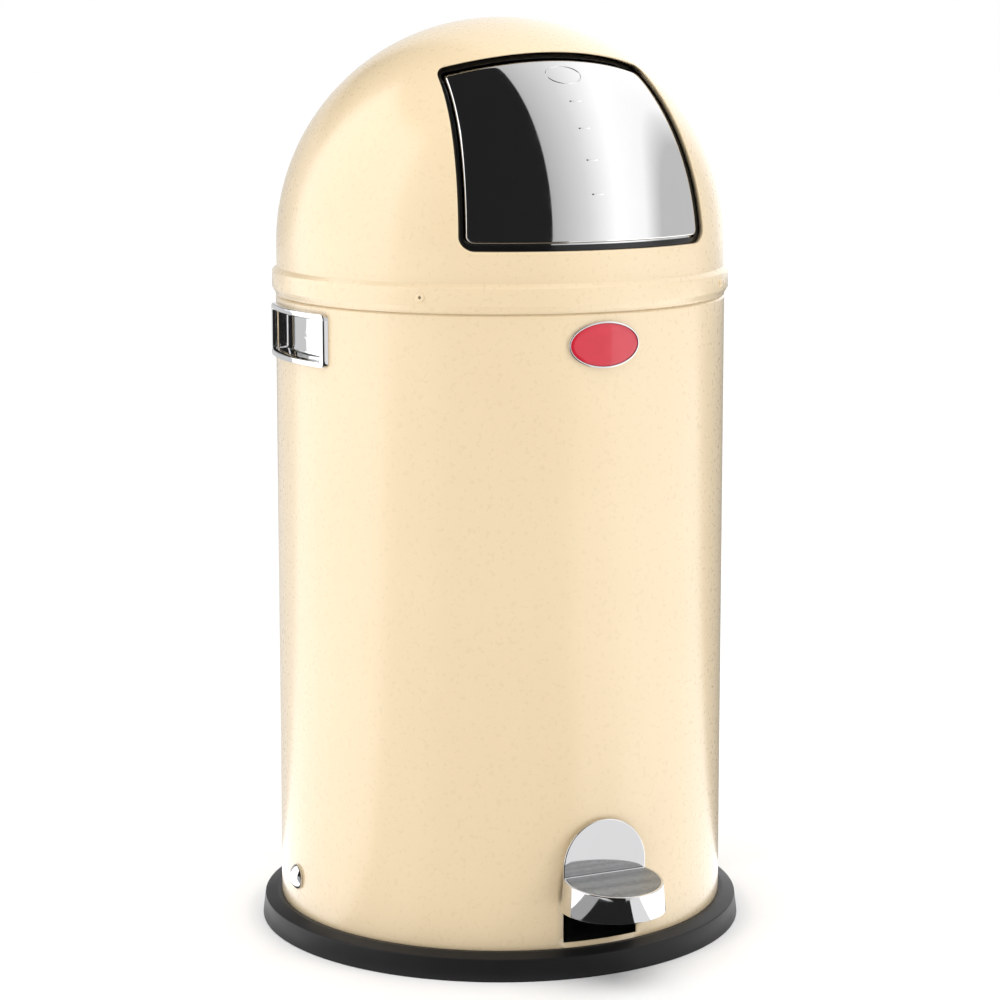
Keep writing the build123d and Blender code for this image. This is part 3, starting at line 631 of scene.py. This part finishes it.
def lip_stations(steps):
    """(grow, radius) from the inner end of the lip, round its outer edge, to the dome."""
    stations = [(0.0, LIP_R)]
    for step in range(steps + 1):
        angle = pi / 2 * step / steps
        stations.append((LIP_ROUND * (1 - cos(angle)), HOOD_R - LIP_ROUND * (1 - sin(angle))))
    return stations


def hood_column(lip, inner_lip, steps):
    """Closed profile of the hood over one point of the opening: the lip, the dome and the bead."""
    middle_z = (OPENING_BOTTOM_Z + OPENING_TOP_Z) / 2
    around = atan2(lip[0].x, middle_z - lip[0].z)
    azimuth = around - 0.35 * sin(around)
    base_elevation = -asin((DOME_Z - BEAD_PROFILE[0][1]) / HOOD_R)
    start = (lip[-1] - Vector((0, 0, DOME_Z))).normalized()
    end = hood_direction(azimuth, base_elevation)
    outer = list(lip)
    inner = list(inner_lip)
    for step in range(1, steps + 1):
        direction = slerp(start, end, step / steps)
        outer.append(hood_surface(direction, 0))
        inner.append(hood_surface(direction, SHEET))
    around_z = Vector((sin(azimuth), -cos(azimuth), 0))
    for radius, height in rounded(BEAD_PROFILE, 1.8, 6)[1:]:
        outer.append(around_z * radius + Vector((0, 0, height)))
        inner.append(around_z * (radius - SHEET) + Vector((0, 0, height)))
    return outer + inner[::-1]


def make_hood():
    lip_rings = []
    for grow, radius in lip_stations(6):
        lip_rings.append([Vector(on_dome(u, v, radius)) for u, v in opening_outline(grow)])
    inner_rings = []
    for grow, radius in ((1.0, LIP_R), (1.2, HOOD_R - 2.4)):
        inner_rings.append([Vector(on_dome(u, v, radius)) for u, v in opening_outline(grow)])
    columns = []
    for lip, inner_lip in zip(zip(*lip_rings), zip(*inner_rings)):
        columns.append(hood_column(lip, inner_lip, 64))
    points = [point for column in columns for point in column]
    faces = grid_faces(len(columns), len(columns[0]), True, True)
    hood = outward(new_piece("hood_dome", points, faces, CREAM, "hood"))
    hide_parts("hood")


def make_gasket():
    top_r = FLAP_R - 1.4
    low_r = FLAP_R - 2.1
    stations = rounded([(-0.05, top_r), (-4.5, top_r), (-4.5, low_r), (-0.05, low_r)], 0.25, 4, closed=True)
    gasket = swept_frame("flap_seal", opening_outline, stations, on_dome, GASKET_BLACK, "hood")
    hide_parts("flap_gasket")


def make_flap():
    flange_r = 178.5
    flange_edge = -1.6
    back_r = FLAP_R - SHEET
    stations = rounded([
        (-FLAP_GAP - 3, FLAP_R), (-FLAP_GAP, FLAP_R), (-FLAP_GAP, flange_r), (flange_edge, flange_r),
        (flange_edge, flange_r - 0.9), (-FLAP_GAP - 1, flange_r - 0.9), (-FLAP_GAP - 1, back_r),
        (-FLAP_GAP - 3, back_r),
    ], [0, 1.9, 0.5, 0.3, 0.3, 0.8, 0.8, 0], steps=7)
    middle = (0, (OPENING_BOTTOM_Z + OPENING_TOP_Z) / 2)
    fills = [(0, middle, 34, True), (-1, middle, 34, False)]
    flap = swept_frame("flap_plate", opening_outline, stations, on_dome, FLAP_STEEL, "flap", fills,
                       closed=False)
    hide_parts("flap_panel")


def bar_thickness(share):
    """Radius along a bar, which rounds off at both ends."""
    return 0.9 * sqrt(max(0.02, 1 - (2 * share - 1) ** 4))


def grip_thickness(share):
    """Radius along the bail's grip, which is fuller in the middle."""
    return 5.6 + 1.35 * sin(pi * min(1, max(0, share))) ** 0.5


def make_flap_mark():
    """Ornament of the flap: an oval ring over a column of four short bars."""
    oval_z = 710.0
    oval_half = (15, 6.5)
    path = []
    for step in range(48):
        angle = 2 * pi * step / 48
        path.append(on_dome(oval_half[0] * cos(angle), oval_z + oval_half[1] * sin(angle), FLAP_R - 0.1))
    ring = tube_along("flap_mark_ring", path, 0.55, FLAP_STEEL, "flap", 8, closed=True)
    for index, height in enumerate((690.0, 669.5, 645.5, 619.5)):
        path = [on_dome(step - 6, height, FLAP_R - 0.2) for step in range(13)]
        bar = tube_along(f"flap_mark_bar_{index + 1}", path, bar_thickness, FLAP_STEEL, "flap", 10)


def make_rivets():
    """Painted blind rivets in the bead, each with its mandrel hole."""
    profile = rounded([(1.1, -3.0), (1.1, 1.45), (3.0, 1.6), (3.9, 0.05), (2.3, -0.3), (2.3, -3.0)],
                      [0, 0.5, 1.0, 0.3, 0, 0], steps=4)
    mandrel = [(0.0, -3.0), (1.08, -3.0), (1.08, 0.1), (0.0, 0.3)]
    for index, azimuth in enumerate((45, 135, 225, 315)):
        rivet = lathe(f"hood_rivet_{index + 1}", profile, CREAM, "hood", 40, axis="Y")
        turn = Matrix.Rotation(radians(azimuth), 4, "Z") @ Matrix.Translation((0, -BEAD_R * MM, RIVET_Z * MM))
        rivet.data.transform(turn)
        outward(rivet)
        plug = lathe(f"rivet_mandrel_{index + 1}", mandrel, ZINC, "hood", 24, axis="Y")
        plug.data.transform(turn)
        outward(plug)
        if index == 0:
            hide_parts("hood_rivets")


# ---- side handles ----
def make_handle(name, place, node):
    outline = rounded_rectangle(HANDLE_HALF[0], HANDLE_HALF[1], 4.0, 1.2)
    face = HANDLE_FACE_R
    stations = rounded([
        (-1.0, BODY_R + 0.06), (0, BODY_R + 0.06), (-0.3, face), (-4.6, face), (-5.8, face - 3.0),
        (-7.0, CUP_FLOOR_R), (-10.0, CUP_FLOOR_R),
    ], [0, 0.2, 1.0, 0.8, 1.0, 2.4, 0], steps=6)
    fills = [(-1, (0, 0), 6, False)]
    handle = swept_frame(name, outline, stations, place, CHROME, "shell", fills, closed=False)
    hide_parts(node)


# ---- badge ----
def badge_outline(grow):
    """Ellipse of the badge, offset by a growth."""
    points = []
    for step in range(96):
        angle = 2 * pi * step / 96
        normal = Vector((cos(angle) / BADGE_HALF[0], sin(angle) / BADGE_HALF[1])).normalized()
        x = BADGE_HALF[0] * cos(angle) + normal.x * grow
        y = BADGE_HALF[1] * sin(angle) + normal.y * grow
        points.append((x, y))
    return points


def on_badge(u, v, radius):
    return on_front(u, v + BADGE_Z, radius)


def make_badge():
    foot, face = BODY_R + 0.05, BODY_R + 2.4
    rim_stations = rounded([
        (-0.2, foot), (0, foot), (-0.2, face), (-1.5, face), (-1.7, BODY_R + 1.0), (-3.0, BODY_R + 1.0),
    ], [0, 0.2, 0.6, 0.5, 0.2, 0], steps=5)
    fills = [(-1, (0, 0), 5, False)]
    rim = swept_frame("badge_frame", badge_outline, rim_stations, on_badge, CHROME, "shell", fills,
                      closed=False)
    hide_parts("badge_rim")
    plate_stations = rounded([
        (-1.75, BODY_R + 1.05), (-1.75, BODY_R + 1.7), (-4.0, BODY_R + 2.0), (-8, BODY_R + 2.0),
    ], [0, 0.4, 1.5, 0], steps=5)
    plate = swept_frame("badge_plate", badge_outline, plate_stations, on_badge, RED_ENAMEL, "shell", fills,
                        closed=False)
    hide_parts("badge")


# ---- pedal ----
def tread_outline(grow):
    """Disc with a straight rear edge, which moves in with the outline by the border at most."""
    rear_y = HEEL_FRONT_Y + max(-PAD_BORDER, min(0.0, grow))
    radius = TREAD_R + grow
    half_angle = acos((rear_y - TREAD_Y) / radius) * 180 / pi
    edge_x = radius * sin(radians(half_angle))
    points = arc_points((0, TREAD_Y), radius, 90 + half_angle, 450 - half_angle, 96)
    return points + line_points((edge_x, rear_y), (-edge_x, rear_y), 32)


def on_tread(u, v, height):
    """Point of the tread: its top slopes down towards the front and its foot is level."""
    share = (height - TREAD_LOW_Z) / (TREAD_TOP_Z - TREAD_LOW_Z)
    return u, v, height + (v - HEEL_FRONT_Y) * TREAD_SLOPE * share


def make_tread():
    wall = 2.5
    recess = TREAD_TOP_Z - 1.2
    roof = TREAD_TOP_Z - 3.2
    stations = rounded([
        (-6, recess), (-PAD_BORDER, recess), (-PAD_BORDER, TREAD_TOP_Z), (0, TREAD_TOP_Z),
        (TREAD_FLARE, TREAD_LOW_Z), (TREAD_FLARE - wall, TREAD_LOW_Z), (-wall, roof), (-6, roof),
    ], [0, 0.2, 0.4, 0.9, 0.8, 0.6, 1.0, 0], steps=6)
    centre = (0, TREAD_Y - 4)
    fills = [(0, centre, 8, True), (-1, centre, 8, False)]
    tread = swept_frame("pedal_tread", tread_outline, stations, on_tread, CHROME, "pedal", fills,
                        closed=False)
    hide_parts("pedal_casting")
    pad_edge = -PAD_BORDER - 0.1
    pad_top = TREAD_TOP_Z + 0.4
    pad_stations = rounded([(pad_edge, recess), (pad_edge, pad_top), (-6, pad_top)], [0, 0.5, 0], steps=5)
    fills = [(-1, centre, 10, False)]
    pad = swept_frame("pedal_pad", tread_outline, pad_stations, on_tread, TREAD, "pedal", fills, closed=False)
    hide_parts("tread_pad")


def make_heel():
    """Upright half-round plate behind the tread."""
    low_z = TREAD_TOP_Z - 8

    def outline(grow):
        radius = HEEL_R + grow
        points = arc_points((0, HEEL_Z), radius, 0, 180, 64)
        points += line_points((-radius, HEEL_Z), (-radius, low_z), 8)
        points += line_points((-radius, low_z), (radius, low_z), 32)
        return points + line_points((radius, low_z), (radius, HEEL_Z), 8)

    def place(u, v, height):
        return u, height, v

    stations = rounded([(-6, HEEL_BACK_Y), (-0.2, HEEL_BACK_Y), (-0.2, HEEL_FRONT_Y), (-6, HEEL_FRONT_Y)],
                       [0, 0.7, 0.9, 0], steps=6)
    fills = [(0, (0, HEEL_Z), 6, True), (-1, (0, HEEL_Z), 6, False)]
    heel = swept_frame("pedal_heel", outline, stations, place, CHROME, "pedal", fills, closed=False)


def make_axle_caps():
    rim = 1.6
    rise = AXLE_CAP_X - BODY_R - rim
    crown_r = (AXLE_CAP_R ** 2 + rise ** 2) / (2 * rise)
    profile = [(AXLE_CAP_R - 0.3, 0.0), (AXLE_CAP_R, 0.3), (AXLE_CAP_R, rim - 0.2)]
    edge = asin(AXLE_CAP_R / crown_r)
    for step in range(15):
        angle = edge * (1 - step / 14)
        profile.append((crown_r * sin(angle), rise + rim - crown_r * (1 - cos(angle))))
    for side, name in ((1, "axle_cap_right"), (-1, "axle_cap_left")):
        mirrored = [(radius, side * (BODY_R + height)) for radius, height in profile]
        cap = lathe(name, mirrored, CHROME, "shell", 64, (0, 0, AXLE_Z), "X", closed=False)
        outward(cap)
        if side == 1:
            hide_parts("axle_caps")


# ---- return spring ----
def make_return_spring():
    """Open coil round the push rod."""
    (low_x, low_y, low_z), (high_x, high_y, high_z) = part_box("return_spring")
    wire_r = 0.7
    pitch = 7.5
    middle = ((low_x + high_x) / 2 / MM, (low_y + high_y) / 2 / MM)
    coil_r = (high_x - low_x) / 2 / MM - wire_r
    start_z = low_z / MM + wire_r
    height = (high_z - low_z) / MM - 2 * wire_r
    turns = height / pitch
    steps = 480
    path = []
    for step in range(steps + 1):
        angle = 2 * pi * turns * step / steps
        point = (middle[0] + coil_r * cos(angle), middle[1] + coil_r * sin(angle))
        path.append((*point, start_z + height * step / steps))
    spring = outward(tube_along("return_spring_coil", path, wire_r, SPRING, "shell", 10))
    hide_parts("return_spring")
    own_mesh(spring)


# ---- inner bucket ----
def make_bucket():
    foot_r, top_r, wall = 158.4, 167.6, 0.8
    foot_z = corner("bucket", 0, 2)
    top_z = corner("bucket", 1, 2) - 3.0
    profile = [
        (0.0, foot_z + 4), (foot_r - 3, foot_z + 4), (foot_r - 0.6, foot_z + 1), (foot_r, foot_z),
        (foot_r + 0.3, foot_z + 2),
    ]
    for step in range(1, 21):
        share = step / 20
        profile.append((foot_r + (top_r - foot_r) * share, foot_z + 2 + (top_z - foot_z - 4) * share))
    for step in range(13):
        angle = radians(-150 + 300 * step / 12)
        profile.append((top_r + wall + 2 * cos(angle), top_z + 1 + 2 * sin(angle)))
    for step in range(20, -1, -1):
        share = step / 20
        profile.append((foot_r - wall + (top_r - foot_r) * share, foot_z + 5 + (top_z - foot_z - 5) * share))
    profile.append((0.0, foot_z + 4.8))
    bucket = outward(lathe("bucket_wall", profile, SHEET_ZINC, "bucket", 160, closed=False))
    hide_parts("bucket")


def make_bail():
    height = (corner("bail_wire", 0, 2) + corner("bail_wire", 1, 2)) / 2
    radius, bend = 152.0, 6.0
    path = [(164.4, 0, height), (radius + bend, 0, height)]
    for step in range(1, 7):
        angle = radians(15 * step)
        path.append((radius + bend - bend * sin(angle), bend * (1 - cos(angle)), height))
    for step in range(1, 96):
        angle = pi * step / 96
        if sin(angle) * radius > bend + 1:
            path.append((radius * cos(angle), radius * sin(angle), height))
    path += [(-x, y, z) for x, y, z in path[7::-1]]
    wire = outward(tube_along("bail_handle_wire", path, 2.5, ZINC, "bail", 14))
    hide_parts("bail_wire")
    grip_path = []
    for step in range(33):
        angle = radians(74 + step)
        grip_path.append((radius * cos(angle), radius * sin(angle), height))
    grip = outward(tube_along("bail_hand_grip", grip_path, grip_thickness, NYLON_BLACK, "bail", 24))
    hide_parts("bail_grip")


# ---- materials of the CAD nodes that stay ----
def repaint_nodes():
    finishes = {
        "cream_powder_coat": CREAM, "black_moulding": RING_BLACK, "chrome_plate": CHROME,
        "polished_steel": FLAP_STEEL, "gasket_rubber": GASKET_BLACK, "tread_metal": TREAD,
        "badge_enamel": RED_ENAMEL, "badge_metal": CHROME, "zinc_steel": ZINC,
        "galvanised_sheet": SHEET_ZINC, "spring_steel": SPRING, "black_nylon": NYLON_BLACK,
    }
    for subpart in frame["record"]["subparts"]:
        node = frame["nodes"][subpart["node"]]
        for material_slot in node.material_slots:
            material_slot.material = finishes[subpart["material_slot"]]


# ---- studio ----
def plain_emitter(name, strength):
    material = bpy.data.materials.new(name)
    material.use_nodes = True
    nodes = material.node_tree.nodes
    nodes.clear()
    light = nodes.new("ShaderNodeEmission")
    light.inputs["Color"].default_value = (1, 1, 1, 1)
    light.inputs["Strength"].default_value = strength
    output = nodes.new("ShaderNodeOutputMaterial")
    material.node_tree.links.new(light.outputs["Emission"], output.inputs["Surface"])
    return material


def graded_emitter(name, strength, marks):
    """Light that changes along X: marks are (x share of the card sphere, brightness) pairs."""
    material = plain_emitter(name, strength)
    nodes, links = material.node_tree.nodes, material.node_tree.links
    place = nodes.new("ShaderNodeNewGeometry")
    split = nodes.new("ShaderNodeSeparateXYZ")
    links.new(place.outputs["Position"], split.inputs["Vector"])
    scale = nodes.new("ShaderNodeMapRange")
    scale.inputs["From Min"].default_value = -CARD_DISTANCE
    scale.inputs["From Max"].default_value = CARD_DISTANCE
    links.new(split.outputs["X"], scale.inputs["Value"])
    ramp = nodes.new("ShaderNodeValToRGB")
    elements = ramp.color_ramp.elements
    while len(elements) < len(marks):
        elements.new(0.5)
    for element, (share, brightness) in zip(elements, marks):
        element.position = (share + 1) / 2
        element.color = (brightness, brightness, brightness, 1)
    links.new(scale.outputs["Result"], ramp.inputs["Fac"])
    light = next(node for node in nodes if node.bl_idname == "ShaderNodeEmission")
    links.new(ramp.outputs["Color"], light.inputs["Color"])
    return material


def reflection_card(name, points, faces, material):
    """Surface round the object that only its reflections show."""
    mesh = bpy.data.meshes.new(name)
    mesh.from_pydata(points, [], faces)
    mesh.materials.append(material)
    card = bpy.data.objects.new(name, mesh)
    bpy.context.scene.collection.objects.link(card)
    card.visible_camera = False
    card.visible_diffuse = False
    card.visible_shadow = False
    card.visible_transmission = False
    return card


def sky_card(name, azimuths, elevations, distance, material):
    """Part of a sphere round the object, between two azimuths and two elevations."""
    steps = 32
    points = []
    for row in range(steps + 1):
        elevation = radians(elevations[0] + (elevations[1] - elevations[0]) * row / steps)
        for column in range(steps + 1):
            azimuth = radians(azimuths[0] + (azimuths[1] - azimuths[0]) * column / steps)
            points.append(hood_direction(azimuth, elevation) * distance + Vector((0, 0, DOME_Z * MM)))
    return reflection_card(name, points, grid_faces(steps + 1, steps + 1, False, False), material)


def side_card(name, low_share, high_share, distance, material):
    """Part of a sphere left of a leaning line: x grows from one share at the horizon to another
    overhead."""
    rows, columns = 48, 48
    far_left = -0.999
    points = []
    for row in range(rows + 1):
        around = radians(-6 + 166 * row / rows)
        lean = low_share + (high_share - low_share) * min(1.0, row / rows * 1.6)
        for column in range(columns + 1):
            x = far_left + (lean - far_left) * column / columns
            radius = sqrt(1 - x * x)
            direction = Vector((x, -radius * cos(around), radius * sin(around)))
            points.append(direction * distance + Vector((0, 0, DOME_Z * MM)))
    return reflection_card(name, points, grid_faces(rows + 1, columns + 1, False, False), material)


def floor_card(name, start, end, material):
    """Sector of a disc just above the floor, between two azimuths."""
    rows, columns = 24, 24
    inner_r = 0.215
    points = []
    for row in range(rows + 1):
        radius = inner_r + (CARD_DISTANCE - inner_r) * (row / rows) ** 3
        for column in range(columns + 1):
            azimuth = radians(start + (end - start) * column / columns)
            points.append(hood_direction(azimuth, 0) * radius + Vector((0, 0, 0.0015)))
    return reflection_card(name, points, grid_faces(rows + 1, columns + 1, False, False), material)


def area_light(name, position, target, size, power):
    """Soft light that the mirrors don't show."""
    lamp = bpy.data.lights.new(name, "AREA")
    lamp.shape = "RECTANGLE"
    lamp.size, lamp.size_y = size
    lamp.energy = power
    light = bpy.data.objects.new(name, lamp)
    light.location = position
    light.rotation_euler = (Vector(target) - Vector(position)).to_track_quat("-Z", "Y").to_euler()
    light.visible_glossy = False
    bpy.context.scene.collection.objects.link(light)
    return light


def make_floor():
    material, nodes, links, shader = node_material("studio_floor")
    vector = position_of(nodes, links, (1, 1, 1))
    tone = two_tone(nodes, links, noise(nodes, links, vector, 2.0), (0.93, 0.93, 0.93), (0.95, 0.95, 0.95))
    links.new(tone, shader.inputs["Base Color"])
    shader.inputs["Roughness"].default_value = 0.9
    half = 40.0
    mesh = bpy.data.meshes.new("floor")
    corners = [(-half, -half, 0), (half, -half, 0), (half, half, 0), (-half, half, 0)]
    mesh.from_pydata(corners, [], [(0, 1, 2, 3)])
    mesh.materials.append(material)
    floor = bpy.data.objects.new("floor", mesh)
    bpy.context.scene.collection.objects.link(floor)


def make_backdrop():
    """White dome that only the camera sees, behind everything."""
    rows, columns, radius = 24, 64, 30.0
    points = []
    for row in range(rows + 1):
        elevation = pi / 2 * row / rows
        for column in range(columns):
            azimuth = 2 * pi * column / columns
            points.append(hood_direction(azimuth, elevation) * radius)
    mesh = bpy.data.meshes.new("backdrop")
    mesh.from_pydata(points, [], grid_faces(rows + 1, columns, False, True))
    mesh.materials.append(plain_emitter("backdrop_white", 1.0))
    dome = bpy.data.objects.new("backdrop", mesh)
    bpy.context.scene.collection.objects.link(dome)
    dome.visible_diffuse = False
    dome.visible_glossy = False
    dome.visible_shadow = False
    dome.visible_transmission = False


def make_sun():
    lamp = bpy.data.lights.new("overhead", "SUN")
    lamp.energy = 1.8
    lamp.angle = 1.2
    light = bpy.data.objects.new("overhead", lamp)
    light.visible_glossy = False
    bpy.context.scene.collection.objects.link(light)


CARD_DISTANCE = 6.0
FLOOR_CARDS = [
    ("floor_back", 94, 172, 0.22),
    ("floor_far_left", -188, -150, 0.7),
    ("floor_left", -150, -84, 1.7),
    ("floor_left_grey", -84, -56, 0.42),
    ("floor_dark", -56, 9, 0.02),
    ("floor_middle", 9, 30, 0.9),
    ("floor_right", 30, 94, 1.55),
]


def make_studio():
    scene = bpy.context.scene
    scene.view_settings.view_transform = "Standard"
    world = bpy.data.worlds.new("studio")
    world.use_nodes = True
    background = world.node_tree.nodes["Background"]
    background.inputs["Color"].default_value = (1, 1, 1, 1)
    background.inputs["Strength"].default_value = 0.56
    scene.world = world
    make_floor()
    make_backdrop()
    make_sun()
    area_light("key_left", (-3.2, -0.9, 1.7), (0, 0, 0.4), (0.9, 2.6), 26)
    area_light("fill_right", (2.2, -2.4, 1.4), (0, 0, 0.4), (1.2, 2.4), 20)
    black = plain_emitter("dark_card", 0.018)
    right_light = graded_emitter("graded_card", 1.3, [
        (-0.05, 0.34), (0.37, 0.64), (0.65, 0.98), (0.88, 0.90), (0.985, 0.48),
    ])
    side_card("dark_side", 0.0, 0.1, CARD_DISTANCE, black)
    sky_card("light_side", (-20, 200), (-6, 89), CARD_DISTANCE + 0.5, right_light)
    sky_card("bright_left", (-152, -80), (-6, 52), CARD_DISTANCE - 0.5, plain_emitter("bright_card", 1.7))
    for name, start, end, strength in FLOOR_CARDS:
        floor_card(name, start, end, plain_emitter(name + "_light", strength))


def make_camera():
    azimuth = radians(-25.95)
    distance = 2.4571
    height = 0.7672
    camera = bpy.data.objects.new("camera", bpy.data.cameras.new("camera"))
    camera.location = (distance * sin(azimuth), -distance * cos(azimuth), height)
    camera.rotation_euler = (radians(90 - 8.414), 0, azimuth)
    camera.data.sensor_width = 36
    camera.data.lens = 106.7
    camera.data.shift_y = -0.06
    bpy.context.scene.collection.objects.link(camera)
    bpy.context.scene.camera = camera


make_camera()
make_shell()
make_foot_ring()
make_hood()
make_gasket()
make_flap()
make_flap_mark()
make_rivets()
make_handle("side_handle_right", on_right, "handle_right")
make_handle("side_handle_left", on_left, "handle_left")
make_badge()
make_tread()
make_heel()
make_axle_caps()
make_return_spring()
make_bucket()
make_bail()
repaint_nodes()
make_studio()
